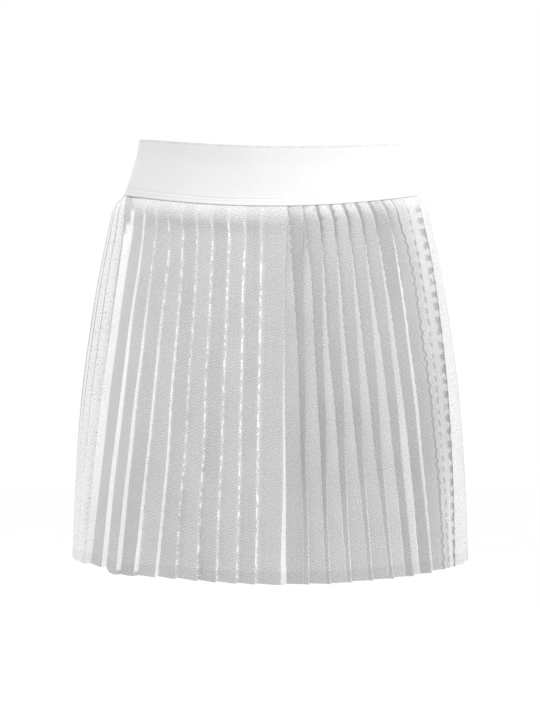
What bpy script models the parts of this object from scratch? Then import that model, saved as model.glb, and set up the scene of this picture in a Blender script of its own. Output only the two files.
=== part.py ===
"""Pleated tennis skirt in its worn, hollow form.

Metres, +Z up, -Y is the front and +X is the viewer's right when the front is
seen.  The origin is the centre of the waistband, half way up it at the sides,
where the wearer's waist holds the garment.

The garment is four cut pieces: a front and a back waistband, and a front and a
back pleated panel.  Each is a closed wall of cloth, lofted through level-ish
rings.  A ring is an oval whose front and back halves have their own depth, and
whose front hangs a little lower than its sides.  All knife pleats lie the same
way round: a face climbs from the foot of one pleat to the ridge of the next,
then the cloth steps straight back to the next foot.
"""

import bpy
import math

# ------------------------------------------------------------ driving sizes
CLOTH_WALL = 0.0015        # pleated cloth, as one rigid wall
BAND_WALL = 0.0022         # double cloth with elastic in the waistband
SEAM_GAP = 0.0003          # clearance between neighbouring pieces
BACK_PLEATS = 27           # evenly spaced over the back panel
LEFT_SIDE_PLEATS = 4       # evenly spaced from the left side to the front table
RIGHT_SIDE_PLEATS = 3      # evenly spaced from the table to the right side
STEP_WIDTH = 0.0005        # how far the step from ridge to foot leans
RIM_TILT = 0.0020          # the rim is this much higher at -X, lower at +X
BAND_SEGMENTS = 30         # facets on half of the waistband
CREASE_SHARE = 0.55        # the soft crease's place on a pleat face
CREASE_RISE = 0.40         # how much of the climb is done at that crease

# Each section: height at the sides, front and back; half width; depth of the
# front and of the back half.
BAND_COLUMNS = ("name", "z_side", "z_front", "z_back",
                "half_width", "front", "back")
BAND_SECTIONS = (
    ("rim",    0.0250,  0.0176,  0.0260, 0.1212, 0.0850, 0.0885),
    ("upper",  0.0125,  0.0037,  0.0138, 0.1233, 0.0864, 0.0905),
    ("middle", -0.0008, -0.0110, 0.0009, 0.1272, 0.0893, 0.0945),
    ("lower", -0.0140, -0.0256, -0.0120, 0.1318, 0.0934, 0.1008),
    ("seam",  -0.0248, -0.0376, -0.0225, 0.1355, 0.0980, 0.1080),
)

# The same columns, then the depth of a pleat's step.
SKIRT_COLUMNS = BAND_COLUMNS + ("pleat",)
SKIRT_SECTIONS = (
    ("seam",     -0.0251, -0.0379, -0.0228, 0.1355, 0.0980, 0.1080, 0.0016),
    ("roll",     -0.0327, -0.0445, -0.0303, 0.1428, 0.1040, 0.1145, 0.0030),
    ("shoulder", -0.0392, -0.0510, -0.0370, 0.1460, 0.1072, 0.1185, 0.0040),
    ("high_hip", -0.0560, -0.0670, -0.0540, 0.1500, 0.1105, 0.1235, 0.0045),
    ("hip",      -0.0930, -0.1020, -0.0915, 0.1581, 0.1170, 0.1320, 0.0048),
    ("seat",     -0.1450, -0.1515, -0.1440, 0.1670, 0.1240, 0.1400, 0.0050),
    ("thigh",    -0.2140, -0.2180, -0.2135, 0.1762, 0.1315, 0.1465, 0.0052),
    ("low",      -0.2884, -0.2900, -0.2882, 0.1819, 0.1375, 0.1497, 0.0054),
    ("hem",      -0.3600, -0.3600, -0.3600, 0.1851, 0.1420, 0.1515, 0.0055),
)

# Ridges of the front pleats, left to right: degrees round the oval from the
# centre front at the hip, how many more at the waist seam and at the hem, and
# how far the pleat stands open at the hem.
SEAM_LEVEL, HIP_LEVEL, HEM_LEVEL = -0.0350, -0.1200, -0.3600
FOLD_COLUMNS = ("name", "hip", "lean", "fan", "open")
FRONT_FOLDS = (
    ("left_0",  -59.5, -7.0, -7.0, 0.0000),
    ("left_1",  -49.0, -2.5, -7.0, 0.0000),
    ("left_2",  -42.5, -2.0, -6.5, 0.0000),
    ("left_3",  -36.0, -2.5, -5.5, 0.0000),
    ("left_4",  -30.0, -2.5, -3.5, 0.0000),
    ("left_5",  -24.5, -2.0, -2.5, 0.0000),
    ("left_6",  -19.0, -1.5, -1.5, 0.0000),
    ("left_7",  -14.0, -0.5, -1.0, 0.0000),
    ("left_8",   -8.5, -0.5, -1.0, 0.0000),
    ("left_9",   -3.5,  0.0, -1.0, 0.0000),
    ("right_1",   4.0,  1.5, -1.5, 0.0040),
    ("right_2",  10.0,  1.5,  1.0, 0.0000),
    ("right_3",  16.0,  0.5,  0.5, 0.0000),
    ("right_4",  21.5,  0.5,  1.0, 0.0000),
    ("right_5",  27.0,  0.0,  2.0, 0.0000),
    ("right_6",  32.5,  0.0,  3.5, 0.0000),
    ("right_7",  39.0, -0.5,  5.0, 0.0000),
    ("right_8",  46.0, -1.0,  5.5, 0.0000),
    ("right_9",  54.5, -1.0,  4.0, 0.0000),
    ("right_10", 61.5,  0.5,  1.0, 0.0000),
    ("right_11", 69.0,  1.5, -2.5, 0.0000),
)


def row(columns, values):
    return dict(zip(columns, values))


def lerp(a, b, t):
    return a + (b - a) * t


def between(z, start, end):
    """0 at the start level and 1 at the end level, held past both."""
    return max(0.0, min(1.0, (z - start) / (end - start)))


def oval_point(sec, angle):
    """Outer point of a section; angle 0 is centre front, 90 is +X."""
    s, c = math.sin(angle), math.cos(angle)
    depth = sec["front"] if c >= 0.0 else sec["back"]
    return (sec["half_width"] * s, -depth * c)


def oval_normal(sec, angle):
    s, c = math.sin(angle), math.cos(angle)
    depth = sec["front"] if c >= 0.0 else sec["back"]
    nx, ny = s / sec["half_width"], -c / depth
    length = math.hypot(nx, ny)
    return (nx / length, ny / length)


def oval_stretch(sec, angle):
    """Metres of outline per radian at an angle."""
    s, c = math.sin(angle), math.cos(angle)
    depth = sec["front"] if c >= 0.0 else sec["back"]
    return math.hypot(sec["half_width"] * c, depth * s)


def height(sec, angle, tilt=0.0):
    """The ring hangs from its side height to its front or back height."""
    c = math.cos(angle)
    end = sec["z_front"] if c >= 0.0 else sec["z_back"]
    return lerp(sec["z_side"], end, c * c) - tilt * math.sin(angle)


def inset(points, wall):
    """Offset an open plan outline to its inner side by the wall.  Both ends
    lie at a side seam, where the wall is cut square across, along X."""
    normals = []
    for (x0, y0), (x1, y1) in zip(points, points[1:]):
        dx, dy = x1 - x0, y1 - y0
        length = math.hypot(dx, dy)
        normals.append((-dy / length, dx / length))
    out = []
    last = len(points) - 1
    for k, (x, y) in enumerate(points):
        if k in (0, last):
            out.append((x - math.copysign(wall, x), y))
            continue
        a, b = normals[k - 1], normals[k]
        scale = wall / (1.0 + a[0] * b[0] + a[1] * b[1])
        out.append((x + (a[0] + b[0]) * scale, y + (a[1] + b[1]) * scale))
    return out


def wall_mesh(name, rings, wall):
    """Closed wall through rings of (x, y, z) outer points, top to bottom."""
    verts, faces = [], []
    count = len(rings[0])
    for ring in rings:
        inner = inset([(x, y) for x, y, z in ring], wall)
        verts += ring
        verts += [(x, y, ring[k][2]) for k, (x, y) in enumerate(inner)]

    def outer(r, k):
        return r * 2 * count + k

    def inner_(r, k):
        return r * 2 * count + count + k

    last = len(rings) - 1
    for r in range(last):
        for k in range(count - 1):
            faces.append((outer(r, k), outer(r + 1, k),
                          outer(r + 1, k + 1), outer(r, k + 1)))
            faces.append((inner_(r, k + 1), inner_(r + 1, k + 1),
                          inner_(r + 1, k), inner_(r, k)))
        faces.append((inner_(r, 0), inner_(r + 1, 0),
                      outer(r + 1, 0), outer(r, 0)))
        faces.append((outer(r, count - 1), outer(r + 1, count - 1),
                      inner_(r + 1, count - 1), inner_(r, count - 1)))
    for k in range(count - 1):
        faces.append((inner_(0, k), outer(0, k),
                      outer(0, k + 1), inner_(0, k + 1)))
        faces.append((outer(last, k), inner_(last, k),
                      inner_(last, k + 1), outer(last, k + 1)))
    mesh = bpy.data.meshes.new(name)
    mesh.from_pydata(verts, [], faces)
    mesh.update()
    return mesh


def cloth(name, colour, roughness):
    mat = bpy.data.materials.new(name)
    mat.use_nodes = True
    shader = mat.node_tree.nodes["Principled BSDF"]
    shader.inputs["Base Color"].default_value = colour
    shader.inputs["Roughness"].default_value = roughness
    shader.inputs["Metallic"].default_value = 0.0
    return mat


def place(name, mesh, material, parent):
    obj = bpy.data.objects.new(name, mesh)
    obj.data.materials.append(material)
    obj.parent = parent
    bpy.context.scene.collection.objects.link(obj)
    return obj


# ---------------------------------------------------------------- waistband
def band_rings(start, end):
    """Rings of one waistband half between two angles, gapped at its ends."""
    rings = []
    sections = [row(BAND_COLUMNS, v) for v in BAND_SECTIONS]
    for n, sec in enumerate(sections):
        gap = 0.5 * SEAM_GAP / oval_stretch(sec, start)
        tilt = RIM_TILT * (1.0 - n / (len(sections) - 1))
        ring = []
        for k in range(BAND_SEGMENTS + 1):
            angle = lerp(start + gap, end - gap, k / BAND_SEGMENTS)
            x, y = oval_point(sec, angle)
            ring.append((x, y, height(sec, angle, tilt)))
        rings.append(ring)
    return rings


# ------------------------------------------------------------------- pleats
def front_ridges(z):
    """Ridge angles of the front panel at height z, and their openings.  The
    ridges lean towards the waist seam above the hip and fan out below it."""
    table = [row(FOLD_COLUMNS, v) for v in FRONT_FOLDS]
    angles, opens = [], []
    high = between(z, HIP_LEVEL, SEAM_LEVEL)
    low = between(z, HIP_LEVEL, HEM_LEVEL)
    drop = between(z, SEAM_LEVEL, HEM_LEVEL)
    for fold in table:
        angles.append(math.radians(fold["hip"] + fold["lean"] * high
                                   + fold["fan"] * low * low))
        opens.append(fold["open"] * drop)
    side = math.pi / 2
    left = [lerp(-side, angles[0], k / LEFT_SIDE_PLEATS)
            for k in range(1, LEFT_SIDE_PLEATS)]
    right = [lerp(angles[-1], side, k / RIGHT_SIDE_PLEATS)
             for k in range(1, RIGHT_SIDE_PLEATS + 1)]
    return (left + angles + right,
            [0.0] * len(left) + opens + [0.0] * len(right))


def back_ridges(z):
    side = math.pi / 2
    angles = [side + math.pi * (k + 1) / BACK_PLEATS
              for k in range(BACK_PLEATS)]
    return angles, [0.0] * BACK_PLEATS


def pleated_ring(sec, start, ridges, opens):
    """Outer points of one ring: foot, crease and ridge of every pleat, and
    the foot that the last ridge steps back to."""
    pleat = sec["pleat"]
    ring = []

    def point(angle, inward):
        x, y = oval_point(sec, angle)
        nx, ny = oval_normal(sec, angle)
        return (x - nx * inward, y - ny * inward, height(sec, angle))

    foot = start + (STEP_WIDTH + 0.5 * SEAM_GAP) / oval_stretch(sec, start)
    for ridge, opening in zip(ridges, opens):
        ring.append(point(foot, pleat))
        crease = lerp(foot, ridge, CREASE_SHARE)
        ring.append(point(crease, pleat * (1.0 - CREASE_RISE)))
        ring.append(point(ridge, 0.0))
        foot = ridge + (STEP_WIDTH + opening) / oval_stretch(sec, ridge)
    last = ridges[-1]
    foot = last + (STEP_WIDTH - 0.5 * SEAM_GAP) / oval_stretch(sec, last)
    ring.append(point(foot, pleat))
    return ring


def panel_rings(start, ridges_at):
    rings = []
    for values in SKIRT_SECTIONS:
        sec = row(SKIRT_COLUMNS, values)
        ridges, opens = ridges_at(sec["z_side"])
        rings.append(pleated_ring(sec, start, ridges, opens))
    return rings


# ---------------------------------------------------------------- the skirt
for old in list(bpy.data.objects):
    bpy.data.objects.remove(old, do_unlink=True)

waist = bpy.data.objects.new("waist", None)
bpy.context.scene.collection.objects.link(waist)

SIDE = math.pi / 2
place("waistband_front",
      wall_mesh("waistband_front", band_rings(-SIDE, SIDE), BAND_WALL),
      cloth("waistband_front", (0.90, 0.90, 0.91, 1.0), 0.65), waist)
place("waistband_back",
      wall_mesh("waistband_back", band_rings(SIDE, 3 * SIDE), BAND_WALL),
      cloth("waistband_back", (0.90, 0.90, 0.91, 1.0), 0.65), waist)
place("skirt_front",
      wall_mesh("skirt_front", panel_rings(-SIDE, front_ridges), CLOTH_WALL),
      cloth("skirt_front", (0.68, 0.68, 0.69, 1.0), 0.80), waist)
place("skirt_back",
      wall_mesh("skirt_back", panel_rings(SIDE, back_ridges), CLOTH_WALL),
      cloth("skirt_back", (0.68, 0.68, 0.69, 1.0), 0.80), waist)
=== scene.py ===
import bpy
import math
import numpy as np
from mathutils import Matrix, Vector


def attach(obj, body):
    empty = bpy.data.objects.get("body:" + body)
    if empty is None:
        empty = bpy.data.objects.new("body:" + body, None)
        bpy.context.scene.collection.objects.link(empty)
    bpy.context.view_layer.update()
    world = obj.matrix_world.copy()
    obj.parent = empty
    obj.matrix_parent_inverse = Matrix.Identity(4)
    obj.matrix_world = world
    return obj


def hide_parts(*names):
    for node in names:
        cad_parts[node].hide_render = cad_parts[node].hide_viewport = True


# Tennis skirt: a smooth contoured waistband over two knife-pleated panels.
# Metres, +Z up, -Y is the front.  Angles run round the oval from the centre
# front (0) to the right side as seen from the front (+90).

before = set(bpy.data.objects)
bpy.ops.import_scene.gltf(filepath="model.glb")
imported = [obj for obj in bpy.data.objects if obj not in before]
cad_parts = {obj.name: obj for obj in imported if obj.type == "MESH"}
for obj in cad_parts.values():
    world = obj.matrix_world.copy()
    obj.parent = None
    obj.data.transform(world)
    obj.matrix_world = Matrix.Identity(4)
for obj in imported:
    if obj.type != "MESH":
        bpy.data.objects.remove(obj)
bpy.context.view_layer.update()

MM = 0.001
SIDE = math.pi / 2

# ------------------------------------------------------- sizes shared with CAD
BAND_SECTIONS = (   # z_side, z_front, z_back, half_width, front, back
    (0.0250, 0.0176, 0.0260, 0.1212, 0.0850, 0.0885),
    (0.0125, 0.0037, 0.0138, 0.1233, 0.0864, 0.0905),
    (-0.0008, -0.0110, 0.0009, 0.1272, 0.0893, 0.0945),
    (-0.0140, -0.0256, -0.0120, 0.1318, 0.0934, 0.1008),
    (-0.0248, -0.0362, -0.0225, 0.1355, 0.0980, 0.1080),
)
SKIRT_SECTIONS = (  # the same, then the depth of a pleat's step
    (-0.0251, -0.0365, -0.0228, 0.1355, 0.0980, 0.1080, 0.0012),
    (-0.0327, -0.0437, -0.0303, 0.1428, 0.1040, 0.1145, 0.0024),
    (-0.0392, -0.0508, -0.0370, 0.1460, 0.1072, 0.1185, 0.0028),
    (-0.0560, -0.0670, -0.0540, 0.1500, 0.1105, 0.1235, 0.0025),
    (-0.0930, -0.1020, -0.0915, 0.1581, 0.1170, 0.1320, 0.0025),
    (-0.1450, -0.1515, -0.1440, 0.1670, 0.1240, 0.1400, 0.0027),
    (-0.2140, -0.2180, -0.2135, 0.1762, 0.1315, 0.1465, 0.0034),
    (-0.2884, -0.2900, -0.2882, 0.1819, 0.1375, 0.1497, 0.0042),
    (-0.3600, -0.3600, -0.3600, 0.1851, 0.1420, 0.1515, 0.0047),
)
RIM_TILT = 0.0020
SEAM_GAP = 0.0003
BAND_TOP, BAND_LOW = 0.0250, -0.0248
HEM = -0.3600

FOLD_HEIGHTS = (-0.0251, -0.0330, -0.0400, -0.0500, -0.0650,
                -0.0930, -0.1450, -0.2300, -0.3000, -0.3600)
FRONT_FOLDS = (     # ridge angles in degrees at those heights
    ("left_0", -75.5, -66.4, -63.8, -62.5, -61.2, -60.1, -59.4, -60.7, -62.9, -65.4),
    ("left_1", -54.6, -52.7, -50.6, -50.1, -49.5, -49.0, -49.2, -50.6, -52.9, -55.0),
    ("left_2", -46.6, -45.7, -44.1, -43.4, -42.8, -42.4, -42.7, -43.9, -46.0, -48.1),
    ("left_3", -40.3, -39.4, -38.2, -37.2, -36.3, -36.0, -36.0, -36.8, -38.7, -40.8),
    ("left_4", -34.2, -33.4, -32.3, -31.4, -30.8, -30.1, -29.9, -30.1, -31.4, -33.2),
    ("left_5", -28.3, -27.5, -26.5, -25.9, -25.4, -24.8, -24.5, -24.7, -25.8, -26.7),
    ("left_6", -22.0, -21.4, -20.7, -20.1, -19.8, -19.5, -19.1, -19.1, -19.9, -20.2),
    ("left_7", -16.0, -15.4, -14.8, -14.3, -14.1, -13.9, -13.9, -13.9, -14.5, -14.8),
    ("left_8", -9.9, -9.5, -9.1, -8.8, -8.8, -8.8, -8.7, -8.7, -8.9, -9.3),
    ("left_9", -3.7, -3.6, -3.6, -3.5, -3.4, -3.4, -3.5, -3.7, -3.9, -4.2),
    ("right_1", 6.3, 6.1, 5.9, 5.6, 5.1, 4.5, 4.0, 3.5, 3.2, 2.8),
    ("right_2", 11.9, 11.6, 11.4, 11.1, 10.7, 10.4, 10.1, 9.9, 10.3, 10.6),
    ("right_3", 16.9, 16.8, 17.2, 17.2, 17.0, 16.5, 15.9, 15.7, 15.9, 16.5),
    ("right_4", 22.3, 22.0, 22.3, 22.3, 22.1, 21.8, 21.4, 21.3, 21.7, 22.6),
    ("right_5", 27.6, 27.4, 27.6, 27.6, 27.5, 27.1, 26.8, 26.8, 27.7, 29.1),
    ("right_6", 33.2, 32.9, 33.1, 33.2, 33.1, 32.8, 32.7, 32.9, 34.2, 35.9),
    ("right_7", 39.4, 38.8, 39.0, 39.1, 39.0, 38.9, 39.0, 39.8, 41.5, 43.3),
    ("right_8", 46.0, 45.5, 45.5, 46.1, 46.3, 45.9, 45.9, 47.2, 48.9, 50.8),
    ("right_9", 53.7, 52.9, 52.5, 52.8, 54.0, 54.5, 54.9, 55.9, 57.3, 58.2),
    ("right_10", 62.1, 60.3, 59.3, 59.2, 59.8, 59.7, 59.6, 59.3, 60.3, 61.0),
    ("right_11", 75.5, 72.5, 70.3, 70.3, 70.6, 69.8, 68.5, 66.5, 65.6, 64.9),
)
LEFT_SIDE_PLEATS, RIGHT_SIDE_PLEATS, BACK_PLEATS = 4, 3, 27

# Painted light and shade on the right-hand faces: a lighter strip where a face is
# one layer thick, and a darker rest where the folded-under layer lies behind it.
# The light share of the width that shows, at eight heights.
SHARE_HEIGHTS = (-0.033, -0.058, -0.092, -0.118, -0.162, -0.206, -0.250, -0.340)
LIGHT_SHARES = {
    "right_2": (0.06, 0.26, 0.46, 0.56, 0.68, 0.74, 0.78, 0.80),
    "right_3": (0.06, 0.26, 0.44, 0.50, 0.56, 0.62, 0.70, 0.75),
    "right_4": (0.17, 0.08, 0.17, 0.23, 0.34, 0.49, 0.58, 0.75),
    "right_5": (0.18, 0.08, 0.16, 0.20, 0.34, 0.48, 0.61, 0.76),
    "right_6": (0.19, 0.08, 0.14, 0.22, 0.37, 0.50, 0.59, 0.76),
    "right_7": (0.20, 0.09, 0.15, 0.22, 0.40, 0.48, 0.54, 0.57),
    "right_8": (0.21, 0.10, 0.13, 0.20, 0.30, 0.34, 0.39, 0.32),
    "right_9": (0.22, 0.10, 0.10, 0.12, 0.15, 0.17, 0.13, 0.06),
    "right_10": (0.12,) * 8,
    "right_11": (0.35,) * 8,
}
# Painted tones of the light strip, of the fine shade line next to it, and of the
# rest of the face, at the fold heights.
STRIP_TONES = (0.62, 0.54, 0.56, 0.62, 0.92, 1.02, 0.97, 0.91, 0.88, 0.87)
LINE_TONES = (0.66, 0.58, 0.58, 0.60, 0.64, 0.68, 0.71, 0.68, 0.79, 0.93)
FACE_TONES = (0.92, 0.92, 0.92, 0.92, 0.91, 0.85, 0.77, 0.71, 0.82, 0.95)
# Gains on these painted tones, pleat by pleat.
TONE_GAINS = {      # strip, line, face, face near the seam, dark part at the hem
    "right_2": (0.88, 0.96, 0.98, 0.81, 1.00),
    "right_3": (0.96, 0.97, 0.96, 0.92, 1.00),
    "right_4": (1.00, 1.00, 1.00, 0.94, 1.00),
    "right_5": (1.00, 1.00, 1.00, 0.93, 1.00),
    "right_6": (0.99, 1.00, 0.99, 0.90, 0.96),
    "right_7": (0.99, 0.99, 0.98, 0.88, 0.80),
    "right_8": (1.00, 0.98, 0.96, 0.77, 0.78),
    "right_9": (1.15, 0.98, 0.96, 0.86, 0.90),
    "right_10": (1.00, 1.12, 1.20, 0.82, 0.88),
    "right_11": (0.96, 1.14, 1.20, 0.94, 0.96),
}

# The part of each left-hand step that shows from the front, in mm, and how
# far the other steps lie past (+) or under (-) their ridge.
SHOWN_HEIGHTS = (-0.0251, -0.033, -0.040, -0.055, -0.130, -0.240, -0.360)
SHOWN = {
    "left_0": (5.0, 6.2, 6.7, 7.2, 6.9, 7.2, 5.6),
    "left_1": (0.6, 0.9, 1.3, 1.7, 2.5, 4.2, 4.7),
    "left_2": (0.5, 0.8, 1.1, 1.4, 2.0, 3.3, 4.5),
    "left_3": (0.5, 0.6, 0.8, 1.3, 2.0, 2.2, 3.8),
    "left_4": (0.5, 0.6, 0.7, 1.2, 1.6, 1.9, 2.9),
    "left_5": (0.5, 0.6, 0.7, 1.2, 1.4, 1.5, 2.1),
    "left_6": (0.5, 0.6, 0.7, 1.2, 1.4, 1.4, 1.6),
    "left_7": (0.5, 0.6, 0.7, 1.2, 1.4, 1.4, 1.4),
    "left_8": (0.5, 0.6, 0.7, 1.2, 1.4, 1.4, 1.4),
    "left_9": (0.5, 0.6, 0.7, 1.1, 1.4, 1.4, 1.3),
}
STEP_SHIFT = (-1.5, -2.5, -2.4, -2.0, -1.2, -0.4, 0.1)
OPEN_HEIGHTS = (-0.0251, -0.040, -0.100, -0.150, -0.205, -0.270, -0.310, -0.360)
OPEN_SHIFT = (-1.0, -0.8, 0.0, 0.4, 1.1, 2.2, 3.3, 5.0)    # the open pleat
# The white fold lines are painted highlights.
BROKEN = {          # how broken up the white fold line is: at the top, at the
    # hem, and how soon it gets from one to the other
    "left_1": (0.2, 0.0, 2.5), "left_2": (0.85, 0.0, 2.2),
    "left_3": (1.0, 0.0, 1.6), "left_4": (1.0, 0.05, 1.4),
    "left_5": (1.0, 0.9, 1.0), "left_6": (1.0, 1.0, 1.0),
    "left_7": (1.0, 1.0, 1.0), "left_8": (1.0, 1.0, 1.0),
    "left_9": (1.0, 1.0, 1.0),
}

# How much the hem is lifted (mm) round the front.
HEM_LIFT = ((-90, 2.0), (-66, 2.0), (-58, 2.8), (-54.6, 2.8), (-52.2, -1.8),
            (-46, -1.8), (-41, -0.9), (-35, 0.0), (-27, 0.0), (-20, -0.8),
            (-15, -1.4), (-9, -2.0), (0, -2.7), (10, -2.8), (17, -3.1),
            (22, -2.5), (29, -2.0), (36, -1.8), (43, -1.5), (50, -1.0),
            (57, 0.0), (75, -0.4), (90, 0.0))

# Studio light: the white all round, then name, azimuth, elevation, distance,
# share, size and spread of each softbox.
DOME = 1.0
LIGHTS = (
    ("key_right", 62, 20, 1.7, 0.36, 0.9, 180),
    ("top", 0, 78, 1.3, 0.45, 0.7, 180),
)


# ------------------------------------------------------------------ functions
def smooth(xs, ys):
    """Monotone cubic through a table; x may run down."""
    xs, ys = np.array(xs, float), np.array(ys, float)
    if xs[0] > xs[-1]:
        xs, ys = xs[::-1], ys[::-1]
    h = np.diff(xs)
    d = np.diff(ys) / h
    m = np.zeros(len(xs))
    m[0], m[-1] = d[0], d[-1]
    for i in range(1, len(xs) - 1):
        if d[i - 1] * d[i] > 0:
            w1, w2 = 2 * h[i] + h[i - 1], h[i] + 2 * h[i - 1]
            m[i] = (w1 + w2) / (w1 / d[i - 1] + w2 / d[i])

    def at(x):
        x = min(max(x, xs[0]), xs[-1])
        i = min(max(int(np.searchsorted(xs, x)) - 1, 0), len(h) - 1)
        t = (x - xs[i]) / h[i]
        return ((1 + 2 * t) * (1 - t) ** 2 * ys[i]
                + t * (1 - t) ** 2 * h[i] * m[i]
                + t * t * (3 - 2 * t) * ys[i + 1]
                + t * t * (t - 1) * h[i] * m[i + 1])
    return at


def columns_of(table):
    return [smooth([r[0] for r in table], [r[k] for r in table])
            for k in range(len(table[0]))]


BAND = columns_of(BAND_SECTIONS)
SKIRT = columns_of(SKIRT_SECTIONS)


def section(columns, level):
    return [c(level) for c in columns]


def on_oval(sec, angle, inward=0.0, drop=0.0):
    """Point on a section, moved inwards along the plan normal."""
    s, c = math.sin(angle), math.cos(angle)
    depth = sec[4] if c >= 0 else sec[5]
    nx, ny = s / sec[3], -c / depth
    ln = math.hypot(nx, ny)
    end = sec[1] if c >= 0 else sec[2]
    z = sec[0] + (end - sec[0]) * c * c + drop
    return (sec[3] * s - nx / ln * inward, -depth * c - ny / ln * inward, z)


def stretch(sec, angle):
    s, c = math.sin(angle), math.cos(angle)
    depth = sec[4] if c >= 0 else sec[5]
    return math.hypot(sec[3] * c, depth * s)


def wave(seed, z, scale, count=3):
    """A smooth, uneven wave of about +-1 along the height."""
    rng = np.random.RandomState(seed)
    total = 0.0
    for n in range(count):
        f = 2 * math.pi / (scale * (0.6 + 0.9 * rng.rand()))
        total += math.sin(f * z + 6.28 * rng.rand()) * (0.5 + 0.5 * rng.rand())
    return total / (0.6 * count)


class Waves:
    """The same waves for many heights, worked out once."""

    def __init__(self, seed, heights, scale, count=3):
        self.values = [wave(seed, z, scale, count) for z in heights]

    def __getitem__(self, k):
        return self.values[k]


def shell(name, grid, thick, uv, marks):
    """Closed cloth shell: the grid (rows x columns x 3) is its outer side, and
    the inner side lies `thick` (one value a row) behind it."""
    rows, cols = grid.shape[:2]
    du = np.empty_like(grid)
    du[:, 1:-1] = grid[:, 2:] - grid[:, :-2]
    du[:, 0] = grid[:, 1] - grid[:, 0]
    du[:, -1] = grid[:, -1] - grid[:, -2]
    dv = np.empty_like(grid)
    dv[1:-1] = grid[2:] - grid[:-2]
    dv[0] = grid[1] - grid[0]
    dv[-1] = grid[-1] - grid[-2]
    du /= np.linalg.norm(du, axis=2, keepdims=True) + 1e-12
    dv /= np.linalg.norm(dv, axis=2, keepdims=True) + 1e-12
    n = np.cross(du, -dv)
    n /= np.linalg.norm(n, axis=2, keepdims=True) + 1e-12
    inner = grid - n * np.asarray(thick).reshape(-1, 1, 1)
    verts = np.concatenate([grid.reshape(-1, 3), inner.reshape(-1, 3)])
    half = rows * cols
    r, c = np.meshgrid(np.arange(rows - 1), np.arange(cols - 1), indexing="ij")
    a = (r * cols + c).ravel()
    outer = np.stack([a, a + cols, a + cols + 1, a + 1], axis=1)
    back = outer[:, ::-1] + half
    e = np.arange(cols - 1)
    top = np.stack([e + half, e, e + 1, e + 1 + half], axis=1)
    low0 = (rows - 1) * cols
    low = np.stack([low0 + e, low0 + e + half, low0 + e + 1 + half,
                    low0 + e + 1], axis=1)
    f = np.arange(rows - 1) * cols
    left = np.stack([f + half, f + cols + half, f + cols, f], axis=1)
    g = f + cols - 1
    right = np.stack([g, g + cols, g + cols + half, g + half], axis=1)
    faces = np.concatenate([outer, back, top, low, left, right])
    mesh = bpy.data.meshes.new(name)
    mesh.vertices.add(len(verts))
    mesh.vertices.foreach_set("co", verts.astype(np.float32).ravel())
    mesh.loops.add(faces.size)
    mesh.loops.foreach_set("vertex_index", faces.astype(np.int32).ravel())
    mesh.polygons.add(len(faces))
    mesh.polygons.foreach_set("loop_start",
                              np.arange(0, faces.size, 4, dtype=np.int32))
    mesh.polygons.foreach_set("loop_total",
                              np.full(len(faces), 4, dtype=np.int32))
    mesh.update(calc_edges=True)
    mesh.validate()
    layer = mesh.uv_layers.new(name="cloth")
    flat = np.concatenate([uv.reshape(-1, 2), uv.reshape(-1, 2)])
    index = np.empty(len(mesh.loops), dtype=np.int32)
    mesh.loops.foreach_get("vertex_index", index)
    layer.data.foreach_set("uv", flat[index].astype(np.float32).ravel())
    for key, values in marks.items():
        att = mesh.attributes.new(key, "FLOAT", "POINT")
        inside = np.full(half, 1.0 if key == "tone" else 0.0)
        both = np.concatenate([values.ravel(), inside])
        att.data.foreach_set("value", both.astype(np.float32))
    obj = bpy.data.objects.new(name, mesh)
    bpy.context.scene.collection.objects.link(obj)
    mesh.shade_smooth()
    return obj


def from_lists(name, verts, faces, smooth_it=True):
    mesh = bpy.data.meshes.new(name)
    mesh.from_pydata(verts, [], faces)
    mesh.update()
    obj = bpy.data.objects.new(name, mesh)
    bpy.context.scene.collection.objects.link(obj)
    if smooth_it:
        mesh.shade_smooth()
    return obj


# ------------------------------------------------------------------ materials
class Nodes:
    def __init__(self, name):
        self.mat = bpy.data.materials.new(name)
        self.mat.use_nodes = True
        self.tree = self.mat.node_tree
        self.shader = self.tree.nodes["Principled BSDF"]

    def add(self, kind, **values):
        node = self.tree.nodes.new(kind)
        for key, value in values.items():
            setattr(node, key, value)
        return node

    def link(self, out, into):
        self.tree.links.new(out, into)

    def math(self, op, a, b=0.0, clamp=False):
        node = self.add("ShaderNodeMath", operation=op, use_clamp=clamp)
        for k, v in enumerate((a, b)):
            if isinstance(v, (int, float)):
                node.inputs[k].default_value = v
            else:
                self.link(v, node.inputs[k])
        return node.outputs[0]

    def ramp(self, value, low, high, out_low, out_high, soft=False):
        node = self.add("ShaderNodeMapRange")
        if soft:
            node.interpolation_type = "SMOOTHSTEP"
        self.link(value, node.inputs["Value"])
        for key, v in (("From Min", low), ("From Max", high),
                       ("To Min", out_low), ("To Max", out_high)):
            node.inputs[key].default_value = v
        return node.outputs["Result"]

    def sine(self, value, period, phase=0.0):
        turned = self.math("MULTIPLY", value, 2 * math.pi / period)
        if phase:
            turned = self.math("ADD", turned, phase)
        return self.math("SINE", turned)

    def noise(self, vector, scale, detail=2.0, rough=0.5):
        node = self.add("ShaderNodeTexNoise")
        self.link(vector, node.inputs["Vector"])
        node.inputs["Scale"].default_value = scale
        node.inputs["Detail"].default_value = detail
        node.inputs["Roughness"].default_value = rough
        return node.outputs["Fac"]


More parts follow.
